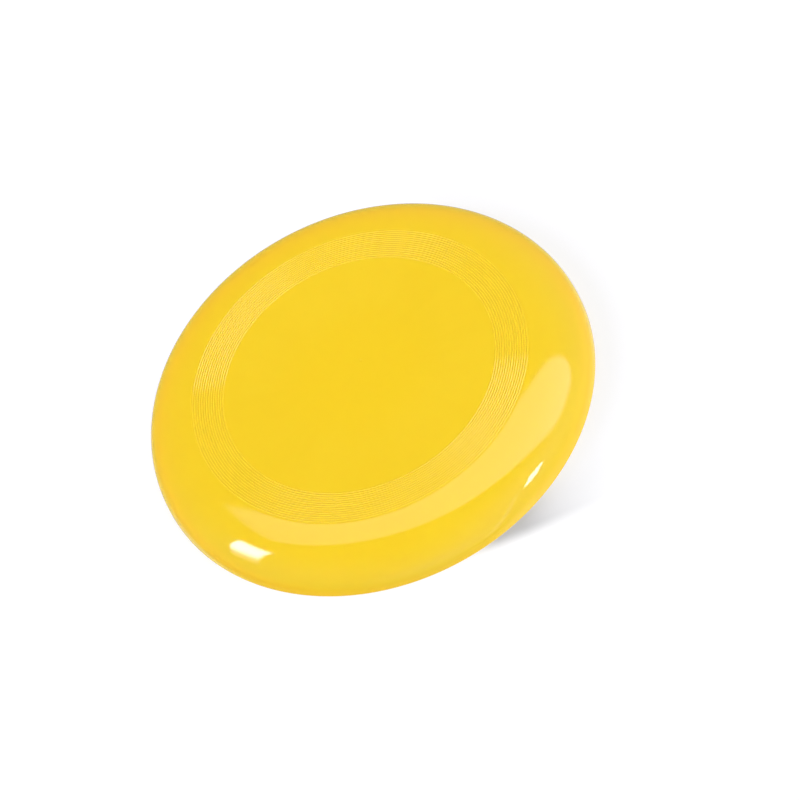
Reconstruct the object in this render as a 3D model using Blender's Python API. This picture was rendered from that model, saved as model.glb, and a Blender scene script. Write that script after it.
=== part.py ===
"""Flying disc: one injection-moulded polypropylene shell, 230 mm across.

Frame: +Z up, metres.  The origin is on the disc's axis, in the plane of the
rim's lowest edge, so the disc rests on z = 0 with its smooth side up.
The disc is one solid turned about Z: a flat centre, a band of fine concentric
flight rings, a rounded shoulder, a rim and an open underside.
"""
import math

import bmesh
import bpy
from mathutils import Vector

for old in list(bpy.data.objects):
    bpy.data.objects.remove(old, do_unlink=True)

# ---- dimensions in millimetres, angles in degrees --------------------------
MM = 0.001                  # metres in a millimetre

DIAMETER = 230.0            # widest, at the rim
RIM_R = DIAMETER / 2
PLATE_Z = 22.80             # height of the flat centre above the rim's edge
SEGMENTS = 64               # steps round the axis

RIB_COUNT = 14              # concentric flight rings
RIB_PITCH = 1.245           # crest to crest
RIB_FIRST_R = 70.50         # radius of the innermost crest
RIB_HEIGHT = 0.20           # crest above the flat centre

SHOULDER_R = 88.00          # where the flat top starts to turn down
SHOULDER_WIDTH = RIM_R - SHOULDER_R
SHOULDER_DROP = 21.80       # from the flat centre to the widest ring
SHOULDER_POWER = 2.443      # 2 is a true ellipse, larger is squarer
SHOULDER_CREASE = 7.0       # angle the surface turns down at once where the flat top ends
SHOULDER_STEPS = 11

# The drop is shared between a straight slope at the crease angle and a curve.
CREASE_DROP = SHOULDER_WIDTH * math.tan(math.radians(SHOULDER_CREASE))
CURVE_DROP = SHOULDER_DROP - CREASE_DROP
CURVE_EXPONENT = 2 / SHOULDER_POWER

PLATE_WALL = 1.50           # wall at the flat centre
RIM_WALL = 2.20             # wall at the rim
UNDER_Z = PLATE_Z - PLATE_WALL

EDGE_INSET = 0.25           # outer corner between the widest ring and the resting ring
EDGE_Z = 0.40
LIP_FLAT_OUT = 114.10       # the flat ring that the disc rests on
LIP_FLAT_IN = 113.30
LIP_INNER_R = RIM_R - RIM_WALL  # inside face of the rim
LIP_INNER_Z = 0.60          # top of the slope from the resting ring to that face
LIP_STEP = 0.02             # least distance of the inner shoulder inside that face

GATE_R = 1.60               # stub where the moulding's gate was cut, underside
GATE_TIP_R = GATE_R * 0.8
GATE_HEIGHT = 0.45

SHARP_ANGLE = 35.0          # edges steeper than this are shaded sharp


# ---- profile: (radius, height) points --------------------------------------
def shoulder_angle(step):
    """Curve parameter, from 0 at the flat top to pi/2 at the widest ring."""
    return 0.5 * math.pi * step / SHOULDER_STEPS


def shoulder(angle):
    """Radius and height of the outer shoulder."""
    across = math.sin(angle) ** CURVE_EXPONENT
    down = 1 - math.cos(angle) ** CURVE_EXPONENT
    return (SHOULDER_R + SHOULDER_WIDTH * across,
            PLATE_Z - CURVE_DROP * down - CREASE_DROP * across)


def shoulder_normal(angle):
    """Unit normal of the outer shoulder, pointing out of the material."""
    exponent = 2 - CURVE_EXPONENT
    upward = math.cos(angle) ** exponent
    outward = math.sin(angle) ** exponent
    return Vector((CURVE_DROP * outward + CREASE_DROP * upward,
                   SHOULDER_WIDTH * upward)).normalized()


def outer_profile():
    """From the axis out over the top and down to the resting ring."""
    points = [(0, PLATE_Z), (RIB_FIRST_R - RIB_PITCH / 2, PLATE_Z)]
    for i in range(RIB_COUNT):
        crest_r = RIB_FIRST_R + i * RIB_PITCH
        points.append((crest_r, PLATE_Z + RIB_HEIGHT))
        points.append((crest_r + RIB_PITCH / 2, PLATE_Z))
    points += [shoulder(shoulder_angle(i)) for i in range(SHOULDER_STEPS + 1)]
    points += [(RIM_R - EDGE_INSET, EDGE_Z), (LIP_FLAT_OUT, 0)]
    return points


def inner_profile():
    """From the resting ring up inside the rim and in to the axis."""
    points = [(LIP_FLAT_IN, 0), (LIP_INNER_R, LIP_INNER_Z)]
    for i in range(SHOULDER_STEPS - 1, 0, -1):
        angle = shoulder_angle(i)
        r, z = shoulder(angle)
        normal = shoulder_normal(angle)
        wall = PLATE_WALL + (RIM_WALL - PLATE_WALL) * math.sin(angle) ** 2
        # The cap keeps the lowest points from cutting into the rim.
        points.append((min(r - normal.x * wall, LIP_INNER_R - LIP_STEP),
                       z - normal.y * wall))
    points += [
        (SHOULDER_R, UNDER_Z),
        (GATE_R, UNDER_Z),
        (GATE_TIP_R, UNDER_Z - GATE_HEIGHT),
        (0, UNDER_Z - GATE_HEIGHT),
    ]
    return points


# ---- mesh, material and object ---------------------------------------------
def turned(name, points, segments):
    """A closed solid turned about Z from a profile that starts and ends on the axis."""
    bm = bmesh.new()
    verts = [bm.verts.new((r * MM, 0, z * MM)) for r, z in points]
    edges = [bm.edges.new(pair) for pair in zip(verts, verts[1:])]
    bmesh.ops.spin(
        bm, geom=verts + edges, cent=(0, 0, 0), axis=(0, 0, 1), dvec=(0, 0, 0),
        angle=2 * math.pi, steps=segments, use_merge=False, use_duplicate=False)
    # Weld the seam and the copies of the two points on the axis.
    bmesh.ops.remove_doubles(bm, verts=bm.verts, dist=2e-6)
    bmesh.ops.dissolve_degenerate(bm, edges=bm.edges, dist=1e-7)
    bmesh.ops.recalc_face_normals(bm, faces=bm.faces)
    mesh = bpy.data.meshes.new(name)
    bm.to_mesh(mesh)
    bm.free()
    return mesh


def plastic(name, colour, roughness):
    material = bpy.data.materials.new(name)
    material.use_nodes = True
    inputs = material.node_tree.nodes["Principled BSDF"].inputs
    inputs["Base Color"].default_value = (*colour, 1)
    inputs["Roughness"].default_value = roughness
    inputs["Metallic"].default_value = 0
    material.diffuse_color = (*colour, 1)
    return material


def build_disc():
    mesh = turned("disc", outer_profile() + inner_profile(), SEGMENTS)
    mesh.shade_smooth()
    mesh.set_sharp_from_angle(angle=math.radians(SHARP_ANGLE))
    mesh.materials.append(
        plastic("yellow_polypropylene", colour=(0.93, 0.62, 0.012), roughness=0.12))
    disc = bpy.data.objects.new("disc", mesh)
    bpy.context.scene.collection.objects.link(disc)


build_disc()
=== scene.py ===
"""A yellow moulded flying disc, on a pale floor in soft studio light.

The disc lies flat, its axis on +Z and its rim's edge on z = 0, with the flat top facing up.
The camera looks down on it from the front (-Y).  The section is in millimetres, all else in metres.
"""
import math
from functools import reduce

import bpy
import numpy as np
from mathutils import Matrix, Vector


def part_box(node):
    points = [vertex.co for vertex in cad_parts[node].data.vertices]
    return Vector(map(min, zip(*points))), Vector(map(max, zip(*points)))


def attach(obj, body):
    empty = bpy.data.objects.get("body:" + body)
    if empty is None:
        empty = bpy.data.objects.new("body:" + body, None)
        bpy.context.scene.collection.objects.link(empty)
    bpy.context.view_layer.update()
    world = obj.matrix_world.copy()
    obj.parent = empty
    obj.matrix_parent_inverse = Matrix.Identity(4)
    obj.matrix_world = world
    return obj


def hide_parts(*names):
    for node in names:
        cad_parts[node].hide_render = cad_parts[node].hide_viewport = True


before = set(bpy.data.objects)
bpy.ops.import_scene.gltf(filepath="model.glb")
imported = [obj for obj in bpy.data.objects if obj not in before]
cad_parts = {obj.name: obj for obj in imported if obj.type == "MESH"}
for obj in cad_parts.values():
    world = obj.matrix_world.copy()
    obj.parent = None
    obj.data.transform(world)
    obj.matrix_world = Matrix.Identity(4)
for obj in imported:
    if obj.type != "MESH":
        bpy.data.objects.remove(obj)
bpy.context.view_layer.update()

MM = 0.001

# ============================================================================
# Sizes, in millimetres
# ============================================================================
LOW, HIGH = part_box("disc")
R_MAX = (HIGH.x - LOW.x) / 2 / MM
PLATE_Z = 22.80                # height of the flat top

RIB_HEIGHT = 0.20
RIB_COUNT = 14
RIB_PITCH = 1.245
RIB_FIRST_R = 70.50
RIB_ROWS = 8                   # mesh rows per flight ring
RIB_START = RIB_FIRST_R - RIB_PITCH / 2
RIB_END = RIB_START + RIB_COUNT * RIB_PITCH

SHOULDER_R = 88.00             # where the flat top ends
SHOULDER_DROP = 21.80
SHOULDER_POWER = 2.443         # 2 is a true ellipse, larger is squarer
SHOULDER_CREASE = 7.0          # degrees the surface turns down at once where the flat top ends
SHOULDER_SAMPLES = 4001        # fine steps from which the curve's length is measured
SHOULDER_WIDTH = R_MAX - SHOULDER_R
CREASE_DROP = SHOULDER_WIDTH * math.tan(math.radians(SHOULDER_CREASE))
WIDEST_Z = PLATE_Z - SHOULDER_DROP
SPLIT_Z = WIDEST_Z - 0.10      # the parting line

PLATE_WALL = 1.50
RIM_WALL = 2.20
UNDER_Z = PLATE_Z - PLATE_WALL

LIP_INNER_R = 112.80
LIP_ROUND_OUT = 0.85           # height of the rim edge's outer rounding
LIP_ROUND_IN = 0.60
LIP_FLAT_OUT = 114.10
LIP_FLAT_IN = 113.35

# shallow round witness mark, off the centre of the top
MARK_X, MARK_Y, MARK_R = 4.16, 5.68, 1.15
MARK_RING_HEIGHT = 0.030
MARK_RING_WIDTH = 0.16
MARK_DIMPLE = 0.045
MARK_ZONE_R = 12.0             # rows of the top out to here carry the mark

# core insert's ring under the plate: radius, height above the plate's underside
INSERT_RING = [(86.0, 0), (82.0, 0), (78.0, 0), (74.0, 0), (71.2, 0), (70.2, 0),
               (69.95, 0.03), (69.70, 0.03), (68.7, 0), (66.0, 0)]

GATE_R = 8.0
GATE_SLOPE = 2.2               # width of the well's sloping side
GATE_DEPTH = 0.22
# floor of the gate's well and the cut stub in it: radius, drop below the well's floor
GATE_STUB = [(5.0, 0), (4.0, 0), (3.0, 0), (2.3, 0), (1.95, 0), (1.72, 0.06), (1.62, 0.22),
             (1.58, 0.48), (1.52, 0.60), (1.40, 0.66), (1.20, 0.67), (0.8, 0.66), (0.4, 0.655),
             (0.0, 0.65)]

AROUND = 300                   # mesh steps round the axis


# ============================================================================
# The moulding's section: each part gives its radii and heights
# ============================================================================
def smooth(start, end, x):
    t = np.clip((x - start) / (end - start), 0.0, 1.0)
    return t * t * (3.0 - 2.0 * t)


def shoulder(t):
    """Outer shoulder at t = 0 (top) to pi/2 (widest ring)."""
    exponent = 2.0 / SHOULDER_POWER
    across = np.maximum(np.sin(t), 0.0) ** exponent
    down = 1.0 - np.maximum(np.cos(t), 0.0) ** exponent
    r = SHOULDER_R + SHOULDER_WIDTH * across
    z = PLATE_Z - (SHOULDER_DROP - CREASE_DROP) * down - CREASE_DROP * across
    return r, z


def shoulder_normal(t):
    """Outward and upward parts of the outer shoulder's normal."""
    exponent = 2.0 - 2.0 / SHOULDER_POWER
    across = np.maximum(np.cos(t), 0.0) ** exponent
    down = np.maximum(np.sin(t), 0.0) ** exponent
    out = (SHOULDER_DROP - CREASE_DROP) * down + CREASE_DROP * across
    up = SHOULDER_WIDTH * across
    length = np.hypot(out, up)
    return out / length, up / length


def arc_lengths(r, z):
    return np.concatenate([[0.0], np.cumsum(np.hypot(np.diff(r), np.diff(z)))])


def level(radii, z):
    radii = np.asarray(radii, dtype=float)
    return radii, np.full(radii.shape, z)


def flat_centre():
    """Close rings under the witness mark, wider ones elsewhere."""
    return level(np.concatenate([
        [0.0, 0.6, 1.6, 2.7, 3.7, 4.6, 5.2], np.arange(5.5, 8.61, 0.17), [8.9, 9.4, 10.2],
        np.arange(12.0, 66.1, 3.6), [67.5, 68.6, 69.3, 69.7]]), PLATE_Z)


def flight_rings():
    """Rounded ridges, a little narrower than the roots between them."""
    count = RIB_COUNT * RIB_ROWS
    r = RIB_START + np.arange(count + 1) / count * RIB_COUNT * RIB_PITCH
    wave = 0.5 + 0.5 * np.cos((r - RIB_FIRST_R) / RIB_PITCH * 2.0 * np.pi)
    inside = (r > RIB_START) & (r < RIB_END)
    return r, PLATE_Z + np.where(inside, RIB_HEIGHT * wave ** 1.5, 0.0)


def outer_shoulder():
    """Evenly spaced along the curve, after a close pair at the crease."""
    t = np.linspace(0.0, math.pi / 2, SHOULDER_SAMPLES)
    arc = arc_lengths(*shoulder(t))
    steps = np.concatenate([[0.0, 0.08], np.linspace(0.35, arc[-1], 50)])
    return shoulder(np.interp(steps, arc, t))


def parting_line():
    """A hair-fine witness of the mould's split, just under the widest ring."""
    return (np.array([R_MAX - 0.004, R_MAX + 0.035, R_MAX + 0.035, R_MAX - 0.010]),
            SPLIT_Z + np.array([0.05, 0.02, -0.05, -0.09]))


def lip_outer_round():
    a = np.linspace(0.12, math.pi / 2, 11)
    width = R_MAX - 0.012 - LIP_FLAT_OUT
    return LIP_FLAT_OUT + width * np.cos(a), LIP_ROUND_OUT * (1.0 - np.sin(a))


def lip_inner_round():
    a = np.linspace(0.0, math.pi / 2, 9)[1:]
    width = LIP_FLAT_IN - LIP_INNER_R
    return LIP_FLAT_IN - width * np.sin(a), LIP_ROUND_IN * (1.0 - np.cos(a))


def inner_shoulder():
    """The outer curve moved in by the wall, from the rim up to the plate."""
    t = np.linspace(math.pi / 2, 0.0, SHOULDER_SAMPLES)
    r, z = shoulder(t)
    out, up = shoulder_normal(t)
    wall = PLATE_WALL + (RIM_WALL - PLATE_WALL) * np.sin(t) ** 2
    r, z = r - out * wall, z - up * wall
    keep = z > LIP_ROUND_IN + 0.3
    r, z = np.minimum(r[keep], LIP_INNER_R - 0.004), z[keep]
    arc = arc_lengths(r, z)
    steps = np.linspace(0.0, arc[-1], 37)
    return np.interp(steps, arc, r), np.interp(steps, arc, z)


def insert_ring():
    r, rise = np.array(INSERT_RING).T
    return r, UNDER_Z + rise


def gate_slope():
    a = np.linspace(0.0, 1.0, 9)
    return GATE_R - GATE_SLOPE * a, UNDER_Z + GATE_DEPTH * smooth(0, 1, a)


def gate_stub():
    r, drop = np.array(GATE_STUB).T
    return r, UNDER_Z + GATE_DEPTH - drop


def section():
    """From the axis over the top, round the rim and back under to the axis."""
    parts = [
        flat_centre(),
        flight_rings(),
        level([87.75, 87.93], PLATE_Z),
        outer_shoulder(),
        parting_line(),
        lip_outer_round(),
        level(np.linspace(LIP_FLAT_OUT, LIP_FLAT_IN, 4)[1:], 0.0),
        lip_inner_round(),
        inner_shoulder(),
        insert_ring(),
        level(np.arange(62.0, 9.9, -4.0), UNDER_Z),
        gate_slope(),
        gate_stub(),
    ]
    return [np.concatenate(column) for column in zip(*parts)]


# ============================================================================
# The disc's mesh
# ============================================================================
def mark_relief(x, y):
    """A fine raised ring round a shallow dimple."""
    distance = np.hypot(x - MARK_X, y - MARK_Y)
    ring = np.exp(-((distance - MARK_R) / MARK_RING_WIDTH) ** 2) * MARK_RING_HEIGHT
    dimple = -MARK_DIMPLE * (1.0 - smooth(0.35 * MARK_R, 0.9 * MARK_R, distance))
    return ring + dimple


def turned(name, r, z, around):
    """A closed mesh turned about Z; the first and last section points are on the axis."""
    angle = np.arange(around) * 2.0 * np.pi / around
    ring_r, ring_z = r[1:-1], z[1:-1]
    rows = len(ring_r)
    points = np.empty((rows, around, 3))
    points[..., 0] = ring_r[:, None] * np.cos(angle)
    points[..., 1] = ring_r[:, None] * np.sin(angle)
    points[..., 2] = ring_z[:, None]
    marked = points[:int(np.argmax(ring_r > MARK_ZONE_R))]
    marked[..., 2] += mark_relief(marked[..., 0], marked[..., 1])
    verts = np.concatenate([points.reshape(-1, 3), [[0, 0, z[0]], [0, 0, z[-1]]]]) * MM

    top, bottom = rows * around, rows * around + 1
    i = np.arange(rows - 1)[:, None] * around
    j = np.arange(around)
    k = (j + 1) % around
    corners = np.broadcast_arrays(i + j, i + around + j, i + around + k, i + k)
    quads = np.stack(corners, -1).reshape(-1, 4)
    fan_top = np.stack([np.full(around, top), j, k], -1)
    last = (rows - 1) * around
    fan_bottom = np.stack([np.full(around, bottom), last + k, last + j], -1)
    faces = [tuple(face) for part in (quads, fan_top, fan_bottom) for face in part.tolist()]

    mesh = bpy.data.meshes.new(name)
    mesh.from_pydata(verts.tolist(), [], faces)
    mesh.update()
    mesh.shade_smooth()
    mesh.validate()
    return mesh


def add_object(name, data):
    obj = bpy.data.objects.new(name, data)
    bpy.context.scene.collection.objects.link(obj)
    return obj


# ============================================================================
# Node helpers
# ============================================================================
class Nodes:
    """Small wrapper that adds shader nodes and wires values or sockets into them."""

    def __init__(self, tree):
        self.tree = tree

    def add(self, kind, **props):
        node = self.tree.nodes.new(kind)
        for key, value in props.items():
            setattr(node, key, value)
        return node

    def put(self, socket, value):
        if isinstance(value, bpy.types.NodeSocket):
            self.tree.links.new(value, socket)
        else:
            socket.default_value = value

    def wired(self, kind, *values, **props):
        """A node with its first inputs filled in order."""
        node = self.add(kind, **props)
        for socket, value in zip(node.inputs, values):
            self.put(socket, value)
        return node

    def math(self, operation, *values):
        return self.wired("ShaderNodeMath", *values, operation=operation).outputs[0]

    def times(self, *values):
        return reduce(lambda a, b: self.math("MULTIPLY", a, b), values)

    def plus(self, *values):
        return reduce(lambda a, b: self.math("ADD", a, b), values)

    def minus(self, a, b):
        return self.math("SUBTRACT", a, b)

    def vmath(self, operation, *values):
        node = self.wired("ShaderNodeVectorMath", *values, operation=operation)
        return node.outputs["Value" if operation == "DOT_PRODUCT" else 0]

    def split(self, vector):
        return self.wired("ShaderNodeSeparateXYZ", vector).outputs

    def colour(self, red, green, blue):
        return self.wired("ShaderNodeCombineColor", red, green, blue).outputs[0]

    def axis_distance(self, x, y):
        return self.math("SQRT", self.plus(self.times(x, x), self.times(y, y)))

    def ramp(self, value, start, end, low=0.0, high=1.0, kind="SMOOTHSTEP"):
        """Goes from low to high as the value goes from start to end."""
        return self.wired("ShaderNodeMapRange", value, start, end, low, high,
                          interpolation_type=kind).outputs[0]

    def noise(self, vector, scale, detail, rough, distortion=0.0):
        node = self.add("ShaderNodeTexNoise")
        self.put(node.inputs["Vector"], vector)
        self.put(node.inputs["Scale"], scale)
        self.put(node.inputs["Detail"], detail)
        self.put(node.inputs["Roughness"], rough)
        self.put(node.inputs["Distortion"], distortion)
        return node.outputs[0]

    def mix(self, factor, a, b):
        node = self.add("ShaderNodeMix", data_type="RGBA")
        self.put(node.inputs["Factor"], factor)
        self.put(node.inputs[6], a)         # the colour sockets A and B
        self.put(node.inputs[7], b)
        return node.outputs[2]

    def add_shaders(self, a, b):
        return self.wired("ShaderNodeAddShader", a, b).outputs[0]

    def mix_shaders(self, factor, a, b):
        return self.wired("ShaderNodeMixShader", factor, a, b).outputs[0]


def empty_material(name):
    mat = bpy.data.materials.new(name)
    mat.use_nodes = True
    mat.node_tree.nodes.clear()
    return mat, Nodes(mat.node_tree)


# ============================================================================
# Moulded polypropylene
# ============================================================================
BASE = (0.8753, 0.5957, 0.0079)


def tinted(red, green, blue):
    """The base colour with each channel scaled."""
    return BASE[0] * red, BASE[1] * green, BASE[2] * blue, 1.0


DEEP = tinted(0.988, 0.982, 0.85)
PALE = tinted(1.008, 1.014, 1.2)
# painted sheen: a less blue yellow for the top's centre, where less pale sheen shows
CENTRE_LESS_SHEEN = tinted(1.015, 1.004, 0.4)
# painted shade for the roots between the flight rings, and painted highlight for their crests
ROOT_SHADE_COLOUR = tinted(0.80, 0.68, 0.4)
CREST_HIGHLIGHT_COLOUR = tinted(1.10, 1.24, 3.0)
# painted shade, partly real translucency: the more orange colour of surfaces seen at a slant
SLANT_SHADE_ORANGE = (0.985, 0.590, 0.0060, 1.0)
# painted light: the paler colour of the very outline
PAINTED_RIM_LIGHT = (1.0, 0.680, 0.0090, 1.0)
# painted sheen: the pale colour of the top seen almost edge on
PAINTED_SHEEN = (0.900, 0.600, 0.060, 1.0)
# strengths of the painted root shade and the painted crest highlight
ROOT_SHADE_AMOUNT, CREST_HIGHLIGHT_AMOUNT = 0.28, 0.46      # how strongly roots and crests take their colours

# roughness: least value, and how much the grain adds
GLOSS_ROUGH, GLOSS_GRAIN = 0.045, 0.02  # polished outside
MATT_ROUGH, MATT_GRAIN = 0.24, 0.10     # finer matt finish inside
GLOSS_EXTRA = 0.0                       # taken off the outside's roughness
SCUFF_ROUGH = 0.22

# bump heights, in millimetres
WAVE_HEIGHT = 0.020                     # slight waviness of a thin cooled wall
POLISH_HEIGHT = 0.00022
HAIRLINE_DEPTH = 0.0006
SAND_HEIGHT = 0.004                     # inside only


def plastic_colour(g, pos, radius, edge_on_sheen):
    # the pigment's slow drift, and faint flow fans spreading from the gate
    drift = g.noise(pos, scale=16.0, detail=3.0, rough=0.5)
    fan = g.vmath("MULTIPLY", g.vmath("NORMALIZE", pos), (1.0, 1.0, 0.25))
    flow = g.noise(fan, scale=7.0, detail=2.0, rough=0.5, distortion=0.3)
    blend = g.plus(g.times(drift, 0.72), g.times(flow, 0.28))
    colour = g.mix(g.ramp(blend, start=0.3, end=0.7), DEEP, PALE)
    # deeper, less blue yellow round the centre: painted as less pale sheen there than on the rest
    # of the top
    less_sheen_near_centre = g.ramp(radius, start=0.050, end=0.022, high=0.5)
    colour = g.mix(less_sheen_near_centre, colour, CENTRE_LESS_SHEEN)
    # where the surface is seen at a slant the colour turns more orange: partly the pigment's real
    # translucency, as light that leaves at a shallow angle has gone further through the pigment,
    # which keeps the red and takes the green, and partly painted shade for the darker slanting edge
    facing = g.add("ShaderNodeLayerWeight")
    facing.inputs["Blend"].default_value = 0.5
    slant = facing.outputs["Facing"]
    colour = g.mix(g.ramp(slant, start=0.22, end=0.62), colour, SLANT_SHADE_ORANGE)
    # painted light at the very outline: a paler, brighter colour, partly standing for light
    # scattered back out before it goes deep
    colour = g.mix(g.ramp(slant, start=0.50, end=0.80), colour, PAINTED_RIM_LIGHT)
    # painted shade in the roots and painted highlight on the crests across the flight rings
    turn = g.math("COSINE", g.times(g.minus(radius, RIB_FIRST_R * MM),
                                    2.0 * math.pi / (RIB_PITCH * MM)))
    quarter = RIB_PITCH / 4
    root = g.ramp(turn, start=0.1, end=-0.9)
    band = g.times(g.ramp(radius, RIB_START * MM, (RIB_START + quarter) * MM),
                   g.ramp(radius, RIB_END * MM, (RIB_END - quarter) * MM))
    colour = g.mix(g.times(root, band, ROOT_SHADE_AMOUNT), colour, ROOT_SHADE_COLOUR)
    crest_highlight = g.ramp(turn, start=0.0, end=1.0)
    colour = g.mix(g.times(crest_highlight, band, CREST_HIGHLIGHT_AMOUNT), colour, CREST_HIGHLIGHT_COLOUR)
    # painted sheen where the top is seen almost edge on
    return g.mix(edge_on_sheen, colour, PAINTED_SHEEN)


def plastic_roughness(g, pos, z, handling, inside):
    grain = g.noise(pos, scale=900.0, detail=2.0, rough=0.6)
    gloss = g.minus(g.plus(GLOSS_ROUGH, g.times(grain, GLOSS_GRAIN)), GLOSS_EXTRA)
    # scuffs low on the rim, where the disc lands
    landing = g.ramp(z, start=0.0040, end=0.0002)
    scuff = g.times(landing, g.ramp(handling, start=0.42, end=0.66))
    outer = g.plus(gloss, g.times(scuff, SCUFF_ROUGH))
    inner = g.plus(MATT_ROUGH, g.times(grain, MATT_GRAIN))
    return g.plus(g.times(outer, g.minus(1.0, inside)), g.times(inner, inside))


def plastic_bump(g, pos, handling, inside):
    wave = g.noise(pos, scale=38.0, detail=1.5, rough=0.45)
    polish = g.noise(pos, scale=420.0, detail=2.0, rough=0.5)
    # fine hairlines where the disc is handled
    stretch = g.add("ShaderNodeMapping")
    g.put(stretch.inputs["Vector"], pos)
    stretch.inputs["Rotation"].default_value = (0.3, 0.2, 0.7)
    stretch.inputs["Scale"].default_value = (1.0, 26.0, 6.0)
    hair = g.noise(stretch.outputs[0], scale=60.0, detail=3.0, rough=0.6, distortion=0.4)
    hairline = g.ramp(g.math("ABSOLUTE", g.minus(hair, 0.5)), start=0.0, end=0.012,
                      low=1.0, high=0.0)
    hairline = g.times(hairline, g.ramp(handling, start=0.52, end=0.70))
    sand = g.noise(pos, scale=2600.0, detail=1.0, rough=0.5)
    height = g.plus(g.times(wave, WAVE_HEIGHT), g.times(polish, POLISH_HEIGHT))
    height = g.minus(height, g.times(hairline, HAIRLINE_DEPTH))
    height = g.plus(height, g.times(sand, SAND_HEIGHT, inside))
    bump = g.add("ShaderNodeBump")
    bump.inputs["Strength"].default_value = 1.0
    bump.inputs["Distance"].default_value = MM
    g.put(bump.inputs["Height"], height)
    return bump.outputs[0]


def inside_mask(g, x, y, radius):
    """1 on the inside of the shell, where the true normal points inward or down."""
    normal_x, normal_y, normal_z = g.split(g.add("ShaderNodeNewGeometry").outputs["True Normal"])
    radial = g.math("DIVIDE", g.plus(g.times(x, normal_x), g.times(y, normal_y)),
                    g.math("MAXIMUM", radius, 0.0001))
    return g.ramp(g.plus(radial, normal_z), start=0.02, end=-0.02)


def plastic():
    mat = bpy.data.materials.new("yellow_moulded_plastic")
    mat.use_nodes = True
    g = Nodes(mat.node_tree)
    bsdf = mat.node_tree.nodes["Principled BSDF"]
    pos = g.add("ShaderNodeTexCoord").outputs["Object"]
    x, y, z = g.split(pos)
    radius = g.axis_distance(x, y)
    # seen almost edge on, the flat top's fine texture breaks up its mirror image, so its gloss is
    # turned off there and a pale painted sheen stands in for the reflection
    look = g.split(g.add("ShaderNodeNewGeometry").outputs["Incoming"])
    edge_on_sheen = g.times(g.ramp(g.math("ABSOLUTE", look["Z"]), start=0.18, end=0.10),
                      g.ramp(radius, start=0.104, end=0.094))
    handling = g.noise(pos, scale=55.0, detail=4.0, rough=0.62)
    inside = inside_mask(g, x, y, radius)

    g.put(bsdf.inputs["Base Color"], plastic_colour(g, pos, radius, edge_on_sheen))
    g.put(bsdf.inputs["Roughness"], plastic_roughness(g, pos, z, handling, inside))
    g.put(bsdf.inputs["Specular IOR Level"], g.minus(0.5, g.times(edge_on_sheen, 0.5)))
    g.put(bsdf.inputs["Normal"], plastic_bump(g, pos, handling, inside))
    bsdf.inputs["Metallic"].default_value = 0.0
    bsdf.inputs["IOR"].default_value = 1.56
    bsdf.inputs["Subsurface Weight"].default_value = 0.12
    bsdf.inputs["Subsurface Radius"].default_value = (1.0, 0.55, 0.08)
    bsdf.inputs["Subsurface Scale"].default_value = 0.0012
    mat.diffuse_color = (*BASE, 1.0)
    return mat


def add_disc():
    mesh = turned("disc_moulding", *section(), AROUND)
    disc = add_object("disc_moulding", mesh)
    mesh.materials.append(plastic())
    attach(disc, "root")
    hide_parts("disc")


# ============================================================================
# Floor
# ============================================================================
FLOOR_HALF = 3.0
FLOOR_Z = -0.0002
FLOOR_GREY = 0.23              # how far the surround lights it, for a faint shade round the rim
FLOOR_GLOW = 0.80              # light from below, as from a lit table, which bleaches the floor
# the floor's painted shadow at the lower right, not cast by the lamps: its depth at the rim's foot,
# and that of a wider painted shade
SHADOW_DEPTH = 0.463           # at the rim's foot
HAZE_DEPTH = 0.0535            # wider shade on the right


def painted_floor_shadow(g, x, y):
    """A painted shadow, deepest at the rim's foot, cut off along a line in front and fading to the
    right.
    """
    near_line = g.plus(y, 0.1137, g.times(x, 0.122))
    cut = g.ramp(near_line, start=-0.0041, end=0.0050)
    past = g.math("MAXIMUM", g.minus(x, 0.0356), 0.0)
    away = g.math("POWER", g.math("DIVIDE", past, 0.0228), 1.35)
    fade = g.math("EXPONENT", g.times(away, -1.0))
    ends = g.times(g.ramp(x, start=0.004, end=0.024), g.ramp(y, start=-0.0816, end=-0.1085))
    core = g.times(fade, ends, SHADOW_DEPTH)
    haze = g.times(g.ramp(g.axis_distance(x, y), start=0.1493, end=0.1227),
                   g.ramp(x, start=0.045, end=0.085), HAZE_DEPTH)
    return g.times(g.plus(core, haze), cut)


def pale_floor():
    mat, g = empty_material("pale_floor")
    out = g.add("ShaderNodeOutputMaterial")
    x, y, _ = g.split(g.add("ShaderNodeTexCoord").outputs["Object"])
    keep = g.minus(1.0, painted_floor_shadow(g, x, y))

    diffuse = g.add("ShaderNodeBsdfDiffuse")
    grey = g.times(keep, FLOOR_GREY)
    g.put(diffuse.inputs["Color"], g.colour(grey, grey, grey))
    glow = g.add("ShaderNodeEmission")
    g.put(glow.inputs["Strength"], g.times(keep, FLOOR_GLOW))
    lit = g.add_shaders(diffuse.outputs[0], glow.outputs[0])
    clear = g.add("ShaderNodeBsdfTransparent").outputs[0]
    # only the camera sees the floor, and only from above, so the underside stays in view and lit
    from_camera = g.add("ShaderNodeLightPath").outputs["Is Camera Ray"]
    backfacing = g.add("ShaderNodeNewGeometry").outputs["Backfacing"]
    seen = g.times(from_camera, g.minus(1.0, backfacing))
    g.put(out.inputs["Surface"], g.mix_shaders(seen, clear, lit))
    return mat


def add_floor():
    half = FLOOR_HALF
    mesh = bpy.data.meshes.new("floor")
    mesh.from_pydata([(-half, -half, 0), (half, -half, 0), (half, half, 0), (-half, half, 0)],
                     [], [(0, 1, 2, 3)])
    obj = add_object("floor", mesh)
    obj.location = (0, 0, FLOOR_Z)
    mesh.materials.append(pale_floor())


# ============================================================================
# Studio light: soft boxes and dim walls as a procedural surround
# ============================================================================
def toward(azimuth, elevation):
    """Direction of a lamp or a wall, from degrees."""
    a, e = math.radians(azimuth), math.radians(elevation)
    return Vector((math.cos(e) * math.cos(a), math.cos(e) * math.sin(a), math.sin(e)))


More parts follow.
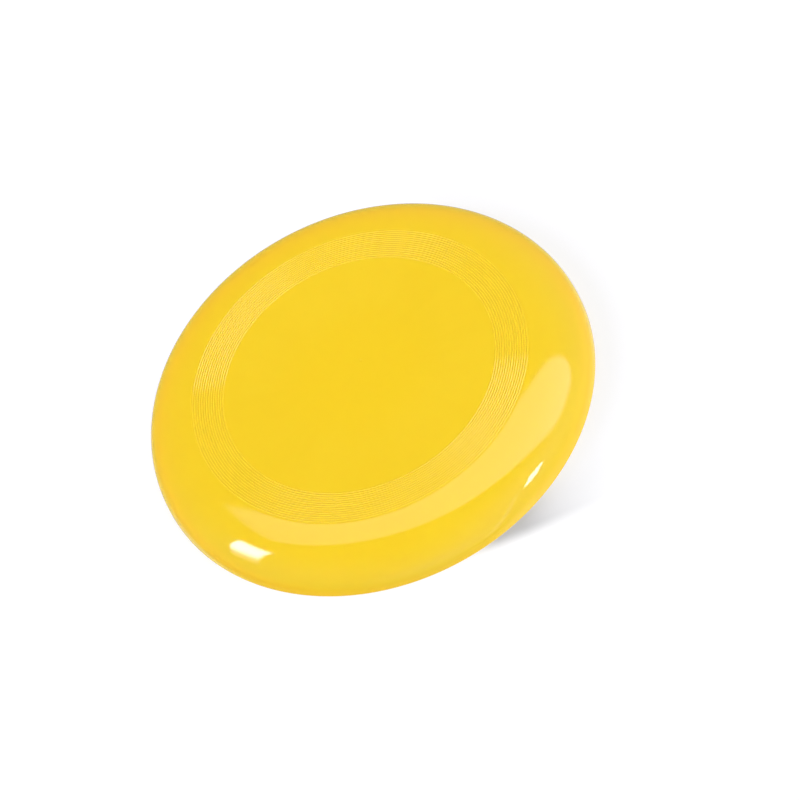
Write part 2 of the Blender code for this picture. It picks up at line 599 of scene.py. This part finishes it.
# all-round glows: ray heights where it sets in and is full, strength
GLOWS = {"room": (-0.68, -0.28, 0.229), "pit": (-0.28, -0.68, 0.444)}
# azimuth, elevation, sharpness, strength
WALLS = {
    "above": (0, 90, 4, 0.081),
    "left": (180, 20, 6, 0.266),
    "front_left": (-135, 20, 6, 0.311),
    "front": (-90, 20, 6, 0.150),
    "front_right": (-45, 20, 6, 0.802),
    "right": (0, 20, 6, 0.346),
    "back_right": (45, 20, 6, 0.269),
    "back": (90, 20, 6, 0.000),
    "back_left": (135, 20, 6, 0.104),
    "low_left": (180, -30, 5, 0.273),
    "low_front": (-90, -30, 5, 1.040),
    "low_right": (0, -30, 5, 0.561),
    "low_back": (90, -50, 5, 0.093),
    "below": (-90, -75, 5, 0.561),
}

# the table close to the rim, which only the gloss shows, lies in the disc's own shade:
# direction, its cosines from clear to shaded, heights from clear to shaded, depth
SHADED = {
    "front_left": (toward(-135, 0), (0.05, 0.35), (-0.15, -0.65), 0.62),
    "right": (toward(5, -40), (0.85, 0.98), (-0.15, -0.50), 0.30),
}

STRIP_CORNERS = [(1.704, -1.37), (1.45, -1.45), (2.146, -2.626), (2.792, -3.075),
                 (2.95, -2.72), (2.251, -1.684)]
# corners: directions, or (x/z, y/z) slopes from straight up
# soft: the edges' softness, one for all or one each
# cool: how much bluer than the room the box burns
BOXES = {
    "panel": dict(
        corners=[(-0.434, 0.648), (-0.535, 0.43), (-0.548, 0.28), (-0.399, 0.189),
                 (0.07, -0.100), (0.36, -0.190), (1.45, -0.425), (1.86, -0.200),
                 (2.12, 0.03), (1.405, 0.357)],
        soft=(0.05, 0.04, 0.03, 0.025, 0.035, 0.085, 0.15, 0.14, 0.05, 0.02),
        strength=0.985, cool=0.16),
    "window": dict(
        corners=[(-0.97, 0.335), (-0.85, 0.20), (-0.87, 0.04), (-4.0, -0.33), (-4.0, 0.40)],
        soft=0.010, strength=15.0, cool=0.30),
    "strip_low": dict(
        corners=[toward(-54.0, 19.0), toward(-57.5, 19.0), toward(-76.0, -30.0),
                 toward(-70.5, -31.0)],
        soft=0.012, strength=0.699, cool=0.0),
    "strip": dict(corners=STRIP_CORNERS, soft=0.008, strength=15.0, cool=0.30),
}
PANEL_RIGHT = 0.0              # strength the panel gains towards its right end
PANEL_SHEEN = 0.793            # the same, in the gloss only
PANEL_SHEEN_END = 0.50         # and again over its right part

# The window and the strip also stand close to the disc, as glowing cards that only a gloss shows.
# azimuths, elevations: the range each may fill, in degrees
# reach: distance from the shoulder, in metres
# slant: degrees later its glow sets in for each degree of azimuth past SLANT_FROM
# tubes: strength, elevation where it sets in, elevation where it is full
CARDS = {
    "window": dict(
        tint=(1.0, 1.0, 1.15),
        corners=[(-1.02, 0.33), (-0.905, 0.062), (-6.0, -0.982), (-6.0, 0.42), (-2.0, 0.335)],
        soft=(0.052, 0.018, 0.010, 0.010, 0.010),
        azimuths=(152.0, 196.0), elevations=(0.0, 56.0), reach=0.110, slant=0.5,
        tubes=((11.6, 17.5, 34.5), (2.6, 5.0, 24.0))),
    "strip": dict(
        tint=(1.0, 1.0, 1.12), corners=STRIP_CORNERS, soft=0.008,
        azimuths=(-55.0, -33.0), elevations=(10.0, 30.0), reach=0.060, slant=0.0,
        tubes=((12.6, -2.0, -1.0),)),
}
SLANT_FROM = 174.0
CARD_STEP = 0.4                # degrees between a card's mesh points

# wide, soft lamps that light the plastic and show in no reflection: azimuth, elevation, strength
FILLS = {"fill_left": (180, 40, 0.133), "fill_right": (0, 40, 0.123)}
FILL_ANGLE = 70.0              # degrees


def box_edges(corners, soft):
    """(inward normal, softness) of each side of the convex outline that the corners make."""
    points = [Vector((*c, 1.0)) if len(c) == 2 else c for c in corners]
    middle = sum(points, Vector()) / len(points)
    softs = soft if isinstance(soft, tuple) else (soft,) * len(points)
    edges = []
    for a, b, width in zip(points, points[1:] + points[:1], softs):
        normal = a.cross(b).normalized()
        if normal.dot(middle) < 0:
            normal = -normal
        edges.append((normal, width))
    return edges


def wall_light(g, ray, height, glossy):
    total = 0.0
    for start, full, strength in GLOWS.values():
        total = g.plus(total, g.times(g.ramp(height, start, full), strength))
    for azimuth, elevation, sharpness, strength in WALLS.values():
        axis = tuple(toward(azimuth, elevation))
        facing = g.math("MAXIMUM", g.vmath("DOT_PRODUCT", ray, axis), 0.0)
        total = g.plus(total, g.times(g.math("POWER", facing, float(sharpness)), strength))
    for axis, cosines, heights, depth in SHADED.values():
        near = g.ramp(g.vmath("DOT_PRODUCT", ray, tuple(axis)), *cosines)
        shade = g.times(near, g.ramp(height, *heights), depth, glossy)
        total = g.times(total, g.minus(1.0, shade))
    return total


def panel_strength(g, base, side, glossy):
    """Brighter towards its right end; its bare tubes show in the gloss more than they light."""
    strength = g.plus(base, g.ramp(side, start=-0.45, end=0.75, high=PANEL_RIGHT, kind="LINEAR"))
    sheen = g.plus(g.ramp(side, start=-0.50, end=0.65, high=PANEL_SHEEN, kind="LINEAR"),
                   g.ramp(side, start=0.05, end=0.80, high=PANEL_SHEEN_END, kind="LINEAR"))
    return g.plus(strength, g.times(sheen, glossy))


def add_surround():
    world = bpy.data.worlds.new("studio")
    bpy.context.scene.world = world
    world.use_nodes = True
    world.node_tree.nodes.clear()
    g = Nodes(world.node_tree)
    out = g.add("ShaderNodeOutputWorld")
    ray = g.add("ShaderNodeTexCoord").outputs["Generated"]
    side, _, height = g.split(ray)
    path = g.add("ShaderNodeLightPath")
    glossy = path.outputs["Is Glossy Ray"]

    total, cool = wall_light(g, ray, height, glossy), 0.0
    for name, box in BOXES.items():
        strength = box["strength"]
        mask = g.times(1.0, *[g.ramp(g.vmath("DOT_PRODUCT", ray, tuple(normal)), -width, width)
                              for normal, width in box_edges(box["corners"], box["soft"])])
        if name == "window":
            # the box's diffuser falls off towards its low side
            mask = g.times(mask, g.ramp(height, start=0.68, end=0.22, low=1.0, high=0.0))
        if name in CARDS:
            # its reflection comes from the card, which stands near the disc
            mask = g.times(mask, g.minus(1.0, glossy))
        if name == "panel":
            strength = panel_strength(g, strength, side, glossy)
        part = g.times(mask, strength)
        total = g.plus(total, part)
        cool = g.plus(cool, g.times(part, box["cool"]))

    lit = g.add("ShaderNodeBackground")
    g.put(lit.inputs["Color"], g.colour(total, total, g.plus(total, cool)))
    # the camera itself sees plain white
    white = g.add("ShaderNodeBackground")
    white.inputs["Color"].default_value = (1, 1, 1, 1)
    white.inputs["Strength"].default_value = 1.0
    g.put(out.inputs["Surface"],
          g.mix_shaders(path.outputs["Is Camera Ray"], lit.outputs[0], white.outputs[0]))
    world.cycles.sampling_method = "MANUAL"
    world.cycles.sample_map_resolution = 2048


def add_fill(name, azimuth, elevation, strength):
    lamp = bpy.data.lights.new(name, "SUN")
    lamp.angle = math.radians(FILL_ANGLE)
    lamp.energy = strength * math.pi
    obj = add_object(name, lamp)
    obj.rotation_mode = "QUATERNION"
    obj.rotation_quaternion = toward(azimuth, elevation).to_track_quat("Z", "Y")
    obj.visible_glossy = False


# ============================================================================
# Glowing cards
# ============================================================================
def shoulder_point(normal):
    """The point of the outer shoulder, in metres, that faces along each normal."""
    t = np.linspace(0.0, math.pi / 2, SHOULDER_SAMPLES)
    out, up = shoulder_normal(t)
    lean = np.arctan2(np.hypot(normal[..., 0], normal[..., 1]), normal[..., 2])
    r, z = shoulder(np.interp(lean, np.arctan2(out, up), t))
    turn = np.arctan2(normal[..., 1], normal[..., 0])
    return np.stack([r * np.cos(turn), r * np.sin(turn), z], -1) * MM


def unit(v):
    return v / np.linalg.norm(v, axis=-1, keepdims=True)


def card_glow(card, ways, azimuth, elevation):
    """Strength at each mesh point, 0 outside the card's outline."""
    mask = np.ones(ways.shape[:-1])
    for normal, width in box_edges(card["corners"], card["soft"]):
        mask = mask * smooth(-width, width, ways @ np.array(normal))
    rise = np.degrees(elevation) - card["slant"] * (np.degrees(azimuth) - SLANT_FROM)
    return mask * sum(strength * smooth(start, full, rise)
                      for strength, start, full in card["tubes"])


def card_material(name, tint):
    mat, g = empty_material(name)
    out = g.add("ShaderNodeOutputMaterial")
    light = g.add("ShaderNodeEmission")
    light.inputs["Color"].default_value = (*tint, 1.0)
    glow = g.add("ShaderNodeAttribute", attribute_name="glow")
    g.put(light.inputs["Strength"], glow.outputs["Fac"])
    clear = g.add("ShaderNodeBsdfTransparent")
    g.put(out.inputs["Surface"], g.add_shaders(light.outputs[0], clear.outputs[0]))
    mat.cycles.emission_sampling = "NONE"
    return mat


def add_card(name, card, eye):
    """A curved card just off the shoulder, where the camera finds it mirrored in the shoulder."""
    azimuth, elevation = np.meshgrid(*[
        np.radians(np.arange(first, last + 0.01, CARD_STEP))
        for first, last in (card["azimuths"], card["elevations"])])
    ways = np.stack([np.cos(elevation) * np.cos(azimuth), np.cos(elevation) * np.sin(azimuth),
                     np.sin(elevation)], -1)
    # settle on the shoulder points that mirror each direction to the camera
    point = np.zeros_like(ways)
    for _ in range(12):
        point = shoulder_point(unit(ways - unit(point - np.array(eye))))
    verts = point + ways * card["reach"]
    glow = card_glow(card, ways, azimuth, elevation)
    rows, cols = glow.shape
    flat = glow.reshape(-1)
    faces = []
    for i in range(rows - 1):
        for j in range(cols - 1):
            low, high = i * cols + j, (i + 1) * cols + j
            ids = (low, low + 1, high + 1, high)
            if max(flat[k] for k in ids) > 0.0:
                faces.append(ids)

    name += "_card"
    mesh = bpy.data.meshes.new(name)
    mesh.from_pydata(verts.reshape(-1, 3).tolist(), [], faces)
    attribute = mesh.attributes.new("glow", "FLOAT", "POINT")
    attribute.data.foreach_set("value", flat.astype(np.float32))
    obj = add_object(name, mesh)
    mesh.materials.append(card_material(name, card["tint"]))
    for ray in ("camera", "diffuse", "transmission", "volume_scatter", "shadow"):
        setattr(obj, "visible_" + ray, False)


# ============================================================================
# Camera
# ============================================================================
CAMERA_TILT = -38.85           # degrees off the disc's axis, towards the front
CAMERA_ROLL = -27.83           # degrees, so that the disc leans left
LENS = 155.2185                # millimetres
SENSOR = 36.0
# centre of the flat top as the camera has it: right, down, forward
TOP_CENTRE = Vector((-0.02077378, -0.01360276, 1.700))


def add_camera():
    """Adds the camera and returns its place."""
    flip = Matrix.Diagonal((1, -1, -1))         # swaps down and forward for up and back
    # disc directions to camera directions: right, down, forward
    to_camera = (Matrix.Rotation(math.radians(CAMERA_ROLL), 3, "Z")
                 @ Matrix.Rotation(math.radians(CAMERA_TILT), 3, "X") @ flip)
    to_disc = to_camera.transposed()
    place = -(to_disc @ TOP_CENTRE) + Vector((0, 0, PLATE_Z * MM))
    cam = bpy.data.cameras.new("camera")
    cam.sensor_width = SENSOR
    cam.sensor_fit = "HORIZONTAL"
    cam.lens = LENS
    cam.clip_start, cam.clip_end = 0.05, 50.0
    obj = add_object("camera", cam)
    obj.matrix_world = Matrix.Translation(place) @ (to_disc @ flip).to_4x4()
    bpy.context.scene.camera = obj
    return place


def set_view():
    view = bpy.context.scene.view_settings
    view.view_transform = "Standard"
    view.look = "None"
    view.exposure = 0.0
    view.gamma = 1.0


add_disc()
add_floor()
add_surround()
for fill_name, fill in FILLS.items():
    add_fill(fill_name, *fill)
camera_place = add_camera()
for card_name, card_design in CARDS.items():
    add_card(card_name, card_design, camera_place)
set_view()
